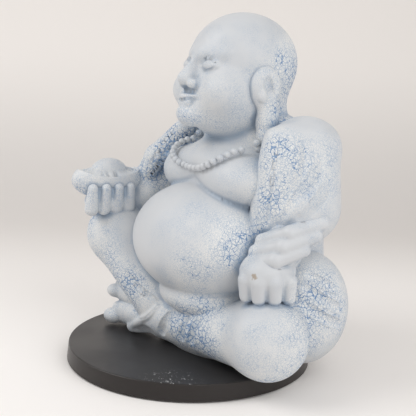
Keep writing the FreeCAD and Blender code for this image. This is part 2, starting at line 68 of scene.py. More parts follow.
# ---- round shapes that the carving is built up from --------------------------------------------
FAR_AWAY = 400.0  # the field's value where no shape is near
FAR_ENOUGH = 45.0  # a shape is left out where it is further away than this


def turned(degrees):
    return np.array(Euler([math.radians(d) for d in degrees]).to_matrix())


def placing(at, turn, size):
    return Matrix.Translation(Vector(at)) @ Matrix(turn).to_4x4() @ Matrix.Diagonal((*size, 1))


def smooth_join(a, b, k):
    """The nearer of two fields, with the corner between them filled over the width k."""
    h = np.maximum(k - np.abs(a - b), 0.0) / k
    return np.minimum(a, b) - h * h * k * 0.25


def smooth_cut(a, b, k):
    return -smooth_join(-a, b, k)


class Egg:
    """An egg or ball with three half-widths; cut makes it a hollow in the shapes before it."""

    def __init__(self, at, size, turn=(0, 0, 0), k=6.0, cut=False):
        self.at, self.size = np.array(at, float), np.array(size, float)
        self.turn, self.k, self.cut = turned(turn), k, cut
        self.reach = float(max(self.size))

    def dist(self, p):
        q = (p - self.at) @ self.turn
        k0 = np.linalg.norm(q / self.size, axis=1)
        k1 = np.linalg.norm(q / self.size ** 2, axis=1)
        return k0 * (k0 - 1.0) / np.maximum(k1, 1e-9)

    def seed(self, bm, grow):
        place = placing(self.at, self.turn, self.size + grow)
        bmesh.ops.create_icosphere(bm, subdivisions=4, radius=1.0, matrix=place)


class Bar:
    """A tapering bar with round ends, from a with radius ra to b with radius rb."""

    cut = False

    def __init__(self, a, b, ra, rb, k=6.0):
        self.a, self.b = np.array(a, float), np.array(b, float)
        self.ra, self.rb, self.k = ra, rb, k
        self.at = (self.a + self.b) / 2
        self.reach = float(np.linalg.norm(self.b - self.a)) / 2 + max(ra, rb)

    def dist(self, p):
        ba = self.b - self.a
        length = np.linalg.norm(ba)
        axis = ba / length
        pa = p - self.a
        along = pa @ axis
        away = np.sqrt(np.maximum((pa * pa).sum(1) - along * along, 0.0))
        s = (self.ra - self.rb) / length
        c = math.sqrt(max(1.0 - s * s, 1e-6))
        place = along - away * s / c
        start = np.hypot(along, away) - self.ra
        end = np.hypot(along - length, away) - self.rb
        side = away * c + along * s - self.ra
        return np.where(place < 0, start, np.where(place > length, end, side))

    def seed(self, bm, grow):
        n = max(2, int(np.linalg.norm(self.b - self.a) / (min(self.ra, self.rb) * 0.5)) + 1)
        for t in np.linspace(0.0, 1.0, n):
            at = self.a + (self.b - self.a) * t
            radius = self.ra + (self.rb - self.ra) * t + grow
            bmesh.ops.create_icosphere(
                bm, subdivisions=3, radius=radius, matrix=Matrix.Translation(Vector(at))
            )


class Slab:
    """A box with rounded edges."""

    cut = False

    def __init__(self, at, half, rounding, turn=(0, 0, 0), k=6.0):
        self.at, self.half = np.array(at, float), np.array(half, float)
        self.rounding, self.turn, self.k = rounding, turned(turn), k
        self.reach = float(np.linalg.norm(self.half))

    def dist(self, p):
        q = np.abs((p - self.at) @ self.turn) - (self.half - self.rounding)
        outside = np.linalg.norm(np.maximum(q, 0.0), axis=1)
        return outside + np.minimum(q.max(axis=1), 0.0) - self.rounding

    def seed(self, bm, grow):
        place = placing(self.at, self.turn, (self.half + grow) * 2)
        bmesh.ops.create_cube(bm, size=1.0, matrix=place)


def union(shapes, p):
    """The joined shapes' distance field at the points p."""
    field = np.full(len(p), FAR_AWAY)
    for s in shapes:
        near = np.linalg.norm(p - s.at, axis=1) < s.reach + FAR_ENOUGH
        if near.any():
            change = smooth_cut if s.cut else smooth_join
            field[near] = change(field[near], s.dist(p[near]), s.k)
    return field


# ---- grooves and ridges that follow the surface ------------------------------------------------
LINE_GAP = 2.5  # between the points of a carved line
LAYING_STEPS = 8  # how often a line is moved onto the surface and evened out
LAYING_LIMIT = 8.0  # the most that one step moves a point


def through(points):
    """A smooth line through the points, as closely spaced points, with the share of its length."""
    p = np.array(points, float)
    ends = np.vstack([2 * p[0] - p[1], p, 2 * p[-1] - p[-2]])
    out = []
    for i in range(1, len(ends) - 2):
        n = max(2, int(np.linalg.norm(ends[i + 1] - ends[i]) / LINE_GAP))
        for t in np.arange(n) / n:
            a, b, c, d = ends[i - 1:i + 3]
            out.append(0.5 * (
                2 * b + (c - a) * t + (2 * a - 5 * b + 4 * c - d) * t * t
                + (3 * b - a - 3 * c + d) * t ** 3
            ))
    out.append(p[-1])
    out = np.array(out)
    run = np.concatenate([[0.0], np.cumsum(np.linalg.norm(np.diff(out, axis=0), axis=1))])
    return out, run / max(run[-1], 1e-9)


class Chain:
    """A groove (depth below 0) or a rounded ridge (above 0) that follows a line on the surface.

    half_width and depth are measured at the surface; ends is the share of the line that fades out.
    """

    def __init__(self, points, half_width, depth, k, ends):
        self.points, self.cut, self.k, self.ends = points, depth < 0, k, ends
        self.radius = (half_width * half_width + depth * depth) / (2 * abs(depth))
        self.rise = math.copysign(self.radius - abs(depth), -depth)
        self.depth = abs(depth)

    def lay(self, field):
        """Brings the line onto the field's surface; called once, before any work."""
        line, share = through(self.points)
        for _ in range(LAYING_STEPS):
            step = np.clip(field(line), -LAYING_LIMIT, LAYING_LIMIT)
            line = line - step[:, None] * slope_of(field, line)
            line[1:-1] = line[1:-1] * 0.4 + (line[:-2] + line[2:]) * 0.3
        fade = np.clip(np.minimum(share, 1 - share) / self.ends, 0, 1) ** 0.6
        shift = self.rise + (1 - fade) * self.depth * (1 if self.cut else -1)
        self.line = line + slope_of(field, line) * shift[:, None]
        margin = self.radius + 2 * self.k
        self.low, self.high = self.line.min(0) - margin, self.line.max(0) + margin

    def work(self, field, p):
        """Cuts or raises the field at the points p."""
        near = np.flatnonzero(((p > self.low) & (p < self.high)).all(1))
        if not len(near):
            return
        q = p[near]
        best = ((q - self.line[0]) ** 2).sum(1)
        for start, end in zip(self.line[:-1], self.line[1:]):
            run = end - start
            t = np.clip((q - start) @ run / max(run @ run, 1e-9), 0, 1)
            best = np.minimum(best, ((q - start - t[:, None] * run) ** 2).sum(1))
        away = np.sqrt(best) - self.radius
        change = smooth_cut if self.cut else smooth_join
        field[near] = change(field[near], away, self.k)


def slope_of(field, p, step=0.4, with_steepness=False):
    """The field's outward direction at the points p, and how steeply it rises there."""
    g = np.zeros_like(p)
    for e in np.array([[1, -1, -1], [-1, -1, 1], [-1, 1, -1], [1, 1, 1]], float):
        g += e * field(p + e * step)[:, None]
    size = np.linalg.norm(g, axis=1)
    outward = g / np.maximum(size, 1e-9)[:, None]
    return (outward, np.clip(size / (4 * step), 0.7, 4.0)) if with_steepness else outward


# ---- the figure's blocks -----------------------------------------------------------------------
HEAD = np.array((0.0, -5.0, 325.0))
CHIN_UP = math.radians(8)


def in_head(x, y, z):
    """A point given from the head's middle, turned with the head."""
    c, s = math.cos(CHIN_UP), math.sin(CHIN_UP)
    return HEAD + (x, y * c + z * s, z * c - y * s)


def head_shapes():
    """A calm, plain face with lowered lids, laid out on the usual thirds of a head."""
    nod = (-math.degrees(CHIN_UP), 0, 0)
    shapes = [
        Egg((0, -4, 345), (61, 67, 60)),
        Egg((0, -26, 305), (58, 52, 49), k=14),
        Bar((0, 14, 235), (0, 0, 320), 50, 46, k=14),
        Egg(in_head(0, -64, -50), (20, 16, 14), nod, k=12),
        Bar(in_head(0, -62, 20), in_head(0, -79, -10), 6.0, 8.5, k=9),
    ]
    for side in (1, -1):
        shapes += [
            Egg(in_head(side * 36, -46, -20), (22, 24, 22), nod, k=14),
            Egg(in_head(side * 23, -73, 9), (17, 9, 8), nod, k=9, cut=True),
            Bar(in_head(side * 8, -62, 21), in_head(side * 36, -50, 23), 5.5, 4.0, k=9),
            Egg(in_head(side * 23, -57, 8), (14, 11, 8.5), nod, k=2),
            Egg(in_head(side * 9.5, -72, -15), (6.5, 8, 6), nod, k=3),
            Bar(in_head(side * 2, -77, -30.5), in_head(side * 15, -69, -29), 3.6, 2.0, k=3),
        ]
    shapes.append(Bar(in_head(-8, -73.5, -37.5), in_head(8, -73.5, -37.5), 4.4, 4.4, k=3))
    return shapes


def ear_shapes(side):
    """An ear with its hollow, and a lobe that hangs down to the shoulder."""
    return [
        Egg((side * 60, -12, 318), (12, 20, 25)),
        Egg((side * 61, -8, 280), (13, 14, 26), k=8),
        Egg((side * 64, -7, 262), (14, 16, 14), k=3),
        Egg((side * 76, -11, 321), (10, 12.5, 17), k=2, cut=True),
        Bar((side * 67, -8, 329), (side * 67, -3, 311), 3.5, 3, k=3),
        Egg((side * 68, -21, 309), (4, 5, 7), k=3),
    ]


def cuff_roll(points, radii):
    """One thick roll of the turned-up cuff, through the points."""
    ends = zip(points, points[1:], radii, radii[1:])
    return [Bar(a, b, ra, rb, k=1.2) for a, b, ra, rb in ends]


SLEEVE_EDGE_TURN = 60  # degrees the sleeve's front edge is turned from the front to the left
BLOCKS = {
    "trunk": [
        Egg((0, 22, 205), (100, 66, 74)),
        Egg((0, 30, 140), (104, 62, 132), k=20),
        Egg((0, 20, 70), (116, 78, 92), k=20),
        Egg((0, -14, 24), (104, 84, 46), k=8),
        Egg((78, -8, 122), (42, 46, 70), k=12),
        Egg((5, -51, 134), (104, 86, 71), k=4),
        Egg((16, -44, 72), (74, 66, 32), k=3),
        *[Egg((side * 47, -32, 211), (57, 43, 33), k=2) for side in (1, -1)],
        Egg((0, -26, 222), (58, 42, 36), k=14),
        Egg((0, 20, 256), (82, 50, 34), k=24),
        Bar((-84, -34, 262), (-110, -62, 222), 13, 15, k=5),
        Bar((-110, -62, 222), (-121, -78, 190), 15, 12, k=5),
    ],
    "head": head_shapes(),
    "left_sleeve": [
        Bar((101, 13, 242), (122, 3, 190), 44, 42),
        Egg((102, 22, 258), (36, 30, 26), k=16),
        Egg((112, -12, 218), (34, 30, 62), (0, 0, 60), k=12),
        Bar((98, -24, 190), (92, -40, 136), 22, 12, k=16),
        Slab((115, -8, 218), (30, 14, 54), 5, (-6, 0, SLEEVE_EDGE_TURN), k=16),
    ],
    "right_sleeve": [
        Bar((-104, 2, 236), (-138, -30, 168), 45, 39),
        Bar((-138, -30, 170), (-131, -68, 170), 38, 33, k=14),
    ],
    "left_forearm": [
        Bar((124, 2, 180), (129, -36, 136), 27, 23),
        *cuff_roll([(120, -48, 154), (149, -34, 167), (161, 0, 179)], (9, 9.5, 8)),
        *cuff_roll([(118, -55, 142), (149, -43, 153), (161, -9, 165)], (9, 9.5, 8)),
        *cuff_roll([(118, -60, 130), (148, -51, 139), (159, -22, 150)], (9, 9, 7.5)),
    ],
    "right_forearm": [
        Bar((-138, -30, 170), (-130, -90, 166), 30, 23),
    ],
    "left_hand": [
        Egg((128, -46, 122), (29, 32, 22)),
        *[
            Bar((x, y, 115), (x - 3, y + 3, 96), 9.5, 8, k=3)
            for x, y in ((126, -72), (141, -66), (150, -52), (152, -35))
        ],
    ],
    "right_hand": [
        Egg((-126, -121, 164), (26, 34, 18)),
        Bar((-150, -112, 166), (-146, -138, 186), 9, 7, k=5),
        *[
            Bar((-108, y, 158), (-100 - abs(y + 128) * 0.14, y, 184), 9, 6.5, k=3)
            for y in (-154, -137, -120, -103)
        ],
    ],
    "ingot": [
        Egg((-126, -123, 193), (25, 50, 26)),
        Egg((-126, -123, 245), (70, 66, 49), k=2, cut=True),
        Egg((-126, -123, 199), (17, 26, 21), k=2),
    ],
    "left_leg": [
        Bar((72, 2, 48), (136, -48, 46), 46, 45),
        Bar((136, -48, 46), (-30, -84, 26), 41, 25, k=10),
        Bar((-14, -88, 34), (-72, -110, 9), 21, 9, k=6),
        Egg((-36, -122, 6), (26, 20, 16), k=4, cut=True),
    ],
    "right_leg": [
        Bar((-50, -20, 60), (-125, -108, 120), 48, 40),
        Bar((-125, -108, 120), (-44, -86, 44), 38, 31, k=10),
    ],
    "left_foot": [
        Bar((-62, -98, 23), (-104, -105, 19), 20, 17),
        Egg((-113, -120, 12), (15, 11, 10), (0, 0, 20), k=2),
        Egg((-119, -107, 17), (15, 9, 11), (0, 0, 10), k=2),
        Egg((-117, -95, 24), (14, 9, 10), k=2),
    ],
    "right_foot": [
        Bar((-76, -96, 45), (-108, -104, 45), 18, 15),
        Egg((-115, -116, 45), (13, 10, 9), (0, 0, 20), k=2),
        Egg((-119, -104, 50), (13, 9, 10), k=2),
    ],
    "sack": [
        Egg((106, 24, 66), (48, 54, 67)),
    ],
    "left_ear": ear_shapes(1),
    "right_ear": ear_shapes(-1),
}
# how widely each block runs into its neighbours
JOIN = {
    "trunk": 3, "head": 10, "left_sleeve": 5, "right_sleeve": 5, "left_forearm": 3,
    "right_forearm": 3, "left_hand": 2, "right_hand": 2, "ingot": 1, "left_leg": 4,
    "right_leg": 4, "left_foot": 2, "right_foot": 2, "sack": 4, "left_ear": 2, "right_ear": 2,
}
FINE_FACES = {"head": 1.3, "left_ear": 1.0, "right_ear": 1.0, "left_hand": 1.1, "right_hand": 1.1}
FACES = 1.7  # how wide the faces of the other blocks' meshes are
CARVED_LINES = []
EDGE_ROUNDING = {"vee": 0.6, "fold": 1.2, "round": 2.0}


def carve(points, half_width, depth, kind="vee", ends=0.25):
    CARVED_LINES.append(Chain(points, half_width, depth, EDGE_ROUNDING[kind], ends))


def lay_carved_lines():
    # the face's lids and mouth
    lower_lid = ((9, 5), (16, 2.5), (24, 2), (33, 4), (39, 7))
    upper_lid = ((10, 12), (17, 17), (24, 18), (33, 15), (39, 10))
    mouth = ((-19, -31), (-10, -34), (0, -34.5), (10, -34), (19, -31))
    for side in (1, -1):
        carve([in_head(side * x, -64, z) for x, z in lower_lid], 1.6, -0.9)
        carve([in_head(side * x, -64, z) for x, z in upper_lid], 1.8, -0.7)
    carve([in_head(x, -76, z) for x, z in mouth], 1.8, -1.2)
    # the robe's folds on the left sleeve, fanning out from the crook of the arm
    for line in (
        ((134, -15, 266), (134, -19, 230), (129, -24, 190)),
        ((143, 4, 244), (139, -8, 214), (131, -21, 184)),
        ((157, 10, 222), (150, -2, 202), (141, -14, 184)),
    ):
        carve(line, 7, -4, "fold", 0.3)
    carve([(118, -31, 262), (121, -38, 226), (121, -43, 190), (120, -50, 166)], 2.2, -1.6)
    # the collar's inner edge over the right breast
    carve([(-70, -32, 262), (-84, -50, 240), (-98, -66, 214), (-108, -78, 192)], 3.5, -3)
    carve([(-82, -42, 262), (-97, -60, 236), (-110, -74, 206)], 2.5, -1.4)
    # wrinkles across the folded leg and hem
    carve([(42, -92, 52), (38, -106, 36), (36, -108, 16)], 6, -4)
    carve([(64, -88, 54), (58, -102, 40), (54, -104, 18)], 6, -4)
    carve([(12, -90, 48), (2, -106, 32), (-6, -110, 12)], 7, -5)
    carve([(-14, -92, 50), (-40, -108, 28), (-66, -114, 12)], 5, 3.5, "round", 0.3)
    # the two edges of the leg's hem by the shin
    carve([(-20, -100, 52), (-40, -112, 62), (-66, -124, 84)], 4, -2.5)
    # gathers of the sack, drawn up towards the hand
    carve([(136, 2, 116), (152, 18, 108), (156, 40, 98)], 7, -4)
    carve([(138, -4, 102), (156, 18, 86), (157, 46, 72)], 7, -4)
    carve([(142, -6, 84), (157, 16, 66), (152, 46, 54)], 7, -4)
    # folds down the robe's back
    for x, low in ((-70, -88), (-28, -40), (14, 22), (58, 74)):
        line = [(x, 120, 236), ((x + low) / 2, 120, 160), (low, 120, 84), (low * 1.1, 120, 30)]
        carve(line, 9, -5, "fold")
    for line in CARVED_LINES:
        line.lay(uncarved)


def uncarved(p):
    """The field of all blocks together, without grooves and ridges, flat underneath."""
    field = np.full(len(p), FAR_AWAY)
    for name, shapes in BLOCKS.items():
        field = smooth_join(field, union(shapes, p), JOIN[name])
    return np.maximum(field, -p[:, 2])


def worked(field, p):
    """The field with every groove and ridge worked into it."""
    for line in CARVED_LINES:
        line.work(field, p)
    return field


def carving(name, p):
    """The field of one block: the whole carving's surface where the block is outermost, and the
    block's own round shape inside its neighbours."""
    own = union(BLOCKS[name], p)
    others = np.full(len(p), FAR_AWAY)
    whole = own.copy()
    for other, shapes in BLOCKS.items():
        if other != name:
            d = union(shapes, p)
            others = np.minimum(others, d)
            whole = smooth_join(whole, d, min(JOIN[name], JOIN[other]))
    whole = np.maximum(worked(whole, p), -p[:, 2])
    return whole + np.maximum(own - others, 0.0)


ROUGH_MARGIN = 2.0  # how much bigger a block's rough shape is than the finished one
CARVING_STEPS = 5
CARVING_LIMIT = 2.5  # the most that one step moves the surface
CARVING_SHARE = 0.9  # the share of the way that one step goes
HOLLOW_STEPS = (3.0, 9.0)  # out from the surface, where the carving closes in over a hollow
HOLLOW_FROM = 0.25  # how far it has to close in before it counts, as a share


def rough_block(name):
    """The block's shapes joined into one closed mesh of even faces, a little oversize."""
    bm = bmesh.new()
    for shape in BLOCKS[name]:
        if not shape.cut:
            shape.seed(bm, ROUGH_MARGIN)
    mesh = bpy.data.meshes.new(name)
    bm.to_mesh(mesh)
    bm.free()
    rough = bpy.data.objects.new(name + "_rough", mesh)
    bpy.context.scene.collection.objects.link(rough)
    even = rough.modifiers.new("even faces", "REMESH")
    even.mode = "VOXEL"
    even.voxel_size = FINE_FACES.get(name, FACES) * 1.0
    done = bpy.data.meshes.new_from_object(
        rough.evaluated_get(bpy.context.evaluated_depsgraph_get())
    )
    bpy.data.objects.remove(rough)
    return done


def hollowness(p, out):
    """How deep in a hollow each surface point lies, from 0 to 1, seen along its direction out; the
    paint is painted darker by it, as shade.
    """
    hollow = np.zeros(len(p))
    for step_out in HOLLOW_STEPS:
        q = p + out * step_out
        gap = 1.0 - worked(uncarved(q), q) / step_out
        share = np.clip((gap - HOLLOW_FROM) / (1.0 - HOLLOW_FROM), 0.0, 1.0)
        hollow = np.maximum(hollow, share)
    return hollow


def carved(name):
    """One block of the figure as a closed mesh object that knows its own hollows."""
    done = rough_block(name)
    p = np.empty(len(done.vertices) * 3)
    done.vertices.foreach_get("co", p)
    p = p.reshape(-1, 3)

    def field(q):
        return carving(name, q)

    for _ in range(CARVING_STEPS):
        d = field(p)
        out, steepness = slope_of(field, p, with_steepness=True)
        step = np.clip(d / steepness, -CARVING_LIMIT, CARVING_LIMIT) * CARVING_SHARE
        p = p - step[:, None] * out
    hollow = hollowness(p, slope_of(field, p))
    p = (p + SEAT) * MM
    done.vertices.foreach_set("co", p.ravel())
    done.attributes.new("hollow", "FLOAT", "POINT").data.foreach_set("value", hollow)
    done.name = name
    done.shade_smooth()
    piece = bpy.data.objects.new("carved_" + name, done)
    bpy.context.scene.collection.objects.link(piece)
    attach(piece, "figure")
    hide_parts(name)
    return piece


# ---- looks -------------------------------------------------------------------------------------
COLOUR_MIX_INPUTS, COLOUR_MIX_OUTPUT = (0, 6, 7), 2  # a mix node's share and its two colours


class Sheet:
    """Lays out the nodes of one material or one shared group."""

    def __init__(self, tree):
        self.tree, self.count = tree, len(tree.nodes)

    def put(self, kind, inputs=(), **settings):
        node = self.tree.nodes.new(kind)
        node.location = (self.count % 8 * 220 - 1900, -(self.count // 8) * 330)
        self.count += 1
        for key, value in settings.items():
            setattr(node, key, value)
        for key, value in dict(inputs).items():
            self.feed(node.inputs[key], value)
        return node

    def feed(self, socket, value):
        if isinstance(value, bpy.types.NodeSocket):
            self.tree.links.new(value, socket)
        else:
            socket.default_value = value

    def reckon(self, operation, *values):
        inputs = dict(enumerate(values))
        return self.put("ShaderNodeMath", inputs, operation=operation).outputs[0]

    def move(self, operation, *values):
        """Sums on whole places and directions."""
        inputs = dict(enumerate(values))
        return self.put("ShaderNodeVectorMath", inputs, operation=operation).outputs

    def cells(self, place, scale, feature):
        inputs = {"Vector": place, "Scale": scale}
        return self.put("ShaderNodeTexVoronoi", inputs, feature=feature).outputs

    def bump(self, shader, height, strength, distance):
        inputs = {"Height": height, "Strength": strength, "Distance": distance}
        self.feed(shader.inputs["Normal"], self.put("ShaderNodeBump", inputs).outputs[0])

    def ramp(self, value, low, high, start=0.0, end=1.0):
        inputs = {"Value": value, "From Min": low, "From Max": high, "To Min": start, "To Max": end}
        node = self.put("ShaderNodeMapRange", inputs, interpolation_type="SMOOTHSTEP")
        return node.outputs["Result"]

    def blend(self, share, first, second):
        node = self.put("ShaderNodeMix", data_type="RGBA")
        for socket, value in zip(COLOUR_MIX_INPUTS, (share, first, second)):
            self.feed(node.inputs[socket], value)
        return node.outputs[COLOUR_MIX_OUTPUT]

    def noise(self, place, scale, detail=3.0, distortion=0.0):
        inputs = {"Vector": place, "Scale": scale, "Detail": detail, "Distortion": distortion}
        return self.put("ShaderNodeTexNoise", inputs).outputs["Fac"]


def shared_group(name, inputs, outputs):
    """A new shader group with the named sockets; returns it, its sheet and its two end nodes."""
    tree = bpy.data.node_groups.new(name, "ShaderNodeTree")
    for socket, kind, value in inputs:
        made = tree.interface.new_socket(name=socket, in_out="INPUT", socket_type=kind)
        if value is not None:
            made.default_value = value
    for socket, kind in outputs:
        tree.interface.new_socket(name=socket, in_out="OUTPUT", socket_type=kind)
    sheet = Sheet(tree)
    start = sheet.put("NodeGroupInput")
    end = sheet.put("NodeGroupOutput")
    return tree, sheet, start.outputs, end.inputs


VALUE, VECTOR, COLOUR = "NodeSocketFloat", "NodeSocketVector", "NodeSocketColor"

# centre and radius of each zone, and how coarse its crackle is, or below 0 how smooth the paint is
CRACKLE_ZONES = [
    ((44, 46, 330), 62, 0.9),
    ((70, 2, 268), 34, 0.8),
    ((118, -40, 244), 30, 0.7),
    ((120, -42, 196), 30, 0.8),
    ((102, -66, 142), 38, 0.9),
    ((62, -104, 112), 34, 0.35),
    ((-92, -34, 244), 38, 0.9),
    ((-112, -62, 205), 36, 0.9),
    ((72, -86, 34), 44, 0.95),
    ((20, -100, 40), 40, 0.6),
    ((146, -40, 34), 42, 0.9),
    ((-62, -114, 62), 36, 0.95),
    ((-96, -122, 92), 30, 0.5),
    ((146, 6, 80), 52, 0.75),
    ((140, 0, 236), 44, 0.3),
    ((-128, -152, 176), 38, 0.5),
    ((-134, -130, 116), 46, 0.5),
    ((0, -60, 290), 50, 0.3),
    ((-112, -112, 20), 30, 0.3),
    ((-20, -124, 142), 62, -0.8),
    ((126, -66, 112), 38, -0.8),
    ((146, -42, 156), 30, -0.8),
    ((20, -70, 214), 44, -0.5),
    ((20, -20, 385), 56, -0.5),
    ((112, 10, 286), 30, -0.5),
    ((100, -66, 14), 22, -0.4),
]
ZONE_SOFT = 1.5  # how far a zone fades out, in its radii


def zones_group():
    tree, sheet, start, end = shared_group(
        "crackle zones", [("Place", VECTOR, None)], [("Coarseness", VALUE)])
    total = 0.0
    for centre, radius, gain in CRACKLE_ZONES:
        apart = sheet.move("DISTANCE", start["Place"], on_figure(centre))["Value"]
        share = sheet.ramp(apart, 0.0, radius * ZONE_SOFT / 1000, gain, 0.0)
        total = sheet.reckon("ADD", total, share)
    sheet.feed(end["Coarseness"], total)
    return tree


def crackle_group():
    """Paint that shrank into cells while drying, over a blue coat that shows in the cracks."""
    tree, sheet, start, end = shared_group(
        "crackle",
        [("Place", VECTOR, None), ("Coarseness", VALUE, 0.5)],
        [("Crack", VALUE), ("Fine Crack", VALUE), ("Cell", VALUE), ("Height", VALUE)],
    )
    place = start["Place"]
    shake = sheet.put("ShaderNodeTexNoise", {"Vector": place, "Scale": 260.0, "Detail": 2.0})
    offset = sheet.move("SUBTRACT", shake.outputs["Color"], (0.5, 0.5, 0.5))[0]
    inputs = {0: offset, "Scale": 0.0045}
    offset = sheet.put("ShaderNodeVectorMath", inputs, operation="SCALE").outputs[0]
    jagged = sheet.move("ADD", place, offset)[0]
    patch = sheet.noise(place, 38.0, 3.0)
    amount = sheet.reckon("ADD", start["Coarseness"], sheet.reckon("MULTIPLY_ADD", patch, 1.6, -0.6))
    cracks = []
    for scale, low, high, width in ((165.0, 0.4, 1.2, 0.10), (330.0, 0.0, 0.7, 0.10)):
        edge = sheet.cells(jagged, scale, "DISTANCE_TO_EDGE")["Distance"]
        opening = sheet.ramp(amount, low, high, 0.0, width)
        inside = sheet.reckon("DIVIDE", edge, sheet.reckon("MAXIMUM", opening, 0.0001))
        cracks.append(sheet.ramp(inside, 0.45, 1.0, 1.0, 0.0))
    tiny_edge = sheet.cells(jagged, 560.0, "DISTANCE_TO_EDGE")["Distance"]
    tiny_crack = sheet.ramp(tiny_edge, 0.02, 0.12, 1.0, 0.0)
    tiny_crack = sheet.reckon("MULTIPLY", tiny_crack, sheet.ramp(amount, -0.35, 0.3))
    fine = sheet.reckon("MAXIMUM", cracks[1], sheet.reckon("MULTIPLY", tiny_crack, 0.6))
    tone = sheet.cells(jagged, 170.0, "F1")["Color"]
    tone = sheet.reckon("MULTIPLY", tone, sheet.ramp(amount, -0.1, 0.6))
    sheet.feed(end["Crack"], cracks[0])
    sheet.feed(end["Fine Crack"], fine)
    sheet.feed(end["Cell"], tone)
    deepest = sheet.reckon("MAXIMUM", cracks[0], fine)
    sheet.feed(end["Height"], sheet.reckon("SUBTRACT", 1.0, deepest))
    return tree


def grain_group():
    """Long soft grain along one direction, for the boards and dowels."""
    inputs = [("Place", VECTOR, None), ("Stretch", VECTOR, (1.0, 1.0, 1.0))]
    tree, sheet, start, end = shared_group("wood grain", inputs, [("Grain", VALUE)])
    place = sheet.move("MULTIPLY", start["Place"], start["Stretch"])[0]
    sheet.feed(end["Grain"], sheet.noise(place, 60.0, 5.0, 0.6))
    return tree


def wear_group():
    """Handling marks: a slow unevenness and a finer one."""
    tree, sheet, start, end = shared_group(
        "wear", [("Place", VECTOR, None)], [("Slow", VALUE), ("Fine", VALUE)])
    sheet.feed(end["Slow"], sheet.noise(start["Place"], 14.0, 3.0))
    sheet.feed(end["Fine"], sheet.noise(start["Place"], 420.0, 2.0))
    return tree


ZONES, CRACKLE, WOOD_GRAIN, WEAR = zones_group(), crackle_group(), grain_group(), wear_group()


def new_look(name, rough, metal=0.0):
    """A new material; returns it, its sheet, its shader and the place on the piece."""
    material = bpy.data.materials.new(name)
    material.use_nodes = True
    sheet = Sheet(material.node_tree)
    shader = material.node_tree.nodes["Principled BSDF"]
    shader.inputs["Roughness"].default_value = rough
    shader.inputs["Metallic"].default_value = metal
    place = sheet.put("ShaderNodeTexCoord").outputs["Object"]
    return material, sheet, shader, place


def use(sheet, tree, **inputs):
    node = sheet.put("ShaderNodeGroup", node_tree=tree)
    for key, value in inputs.items():
        sheet.feed(node.inputs[key], value)
    return node.outputs


def worn_look(name, dark, light, rough, metal=0.0, spread=0.1, dent=0.0):
    """A plain finish whose colour and sheen vary a little with handling."""
    material, sheet, shader, place = new_look(name, rough, metal)
    wear = use(sheet, WEAR, Place=place)
    sheet.feed(shader.inputs["Base Color"], sheet.blend(wear["Slow"], (*dark, 1), (*light, 1)))
    sheen = sheet.ramp(wear["Slow"], 0.3, 0.7, rough - spread / 2, rough + spread / 2)
    sheet.feed(shader.inputs["Roughness"], sheen)
    if dent:
        sheet.bump(shader, wear["Fine"], dent, 0.0004)
    return material


def wood_look(name, dark, light, stretch):
    material, sheet, shader, place = new_look(name, 0.55)
    grain = use(sheet, WOOD_GRAIN, Place=place, Stretch=stretch)["Grain"]
    colour = sheet.blend(sheet.ramp(grain, 0.3, 0.7), (*dark, 1), (*light, 1))
    sheet.feed(shader.inputs["Base Color"], colour)
    sheet.bump(shader, grain, 0.2, 0.0005)
    return material


SMOOTH_PAINT = (0.575, 0.592, 0.615, 1)
CELL_PAINT = (0.80, 0.79, 0.765, 1)
PALE_CELL = (0.66, 0.67, 0.67, 1)
DEEP_BLUE = (0.10, 0.22, 0.42, 1)
PALE_BLUE = (0.31, 0.41, 0.54, 1)
# painted shade: the blue-grey that the carving's hollows are darkened towards
HOLLOW_SHADE_BLUE = (0.25, 0.33, 0.43, 1)
BARE_WOOD = (0.34, 0.27, 0.20, 1)
CHIP = (142, -72, 122)  # on the left fist's knuckles


def crackle_look(name, hollows):
    """The figure's paint, with painted shade in its hollows; hollows says whether the piece carries
    a measure of its own hollows.
    """
    material, sheet, shader, place = new_look(name, 0.5)
    coarse = use(sheet, ZONES, Place=place)["Coarseness"]
    crackle = use(sheet, CRACKLE, Place=place, Coarseness=coarse)
    colour = sheet.blend(sheet.ramp(coarse, -0.2, 0.5), SMOOTH_PAINT, CELL_PAINT)
    colour = sheet.blend(sheet.reckon("MULTIPLY", crackle["Cell"], 0.35), colour, PALE_CELL)
    if hollows:
        # painted shade: the paint turns blue-grey in the carving's hollows, where shade falls
        hollow = sheet.put("ShaderNodeAttribute", attribute_name="hollow").outputs["Fac"]
        colour = sheet.blend(sheet.reckon("MULTIPLY", hollow, 0.75), colour, HOLLOW_SHADE_BLUE)
    colour = sheet.blend(sheet.reckon("MULTIPLY", crackle["Fine Crack"], 0.68), colour, PALE_BLUE)
    colour = sheet.blend(sheet.reckon("MULTIPLY", crackle["Crack"], 0.9), colour, DEEP_BLUE)
    if hollows:
        chip = sheet.move("DISTANCE", place, on_figure(CHIP))["Value"]
        edge = sheet.reckon("MULTIPLY_ADD", sheet.noise(place, 300.0), 0.008, chip)
        colour = sheet.blend(sheet.ramp(edge, 0.0065, 0.0085, 0.8, 0.0), colour, BARE_WOOD)
    sheet.feed(shader.inputs["Base Color"], colour)
    sheet.feed(shader.inputs["Roughness"], sheet.ramp(coarse, -0.3, 0.5, 0.42, 0.62))
    sheet.bump(shader, crackle["Height"], 0.35, 0.0005)
    return material


SCUFFS = (0.114, -0.088, BOARD_TOP)  # on the board's top, where paint rubbed off on the lacquer
BLACK, SOFT_BLACK = (0.020, 0.019, 0.020, 1), (0.030, 0.029, 0.030, 1)
BROWN_BLACK = (0.013, 0.009, 0.008, 1)
RUBBED_GREY = (0.5, 0.5, 0.5, 1)


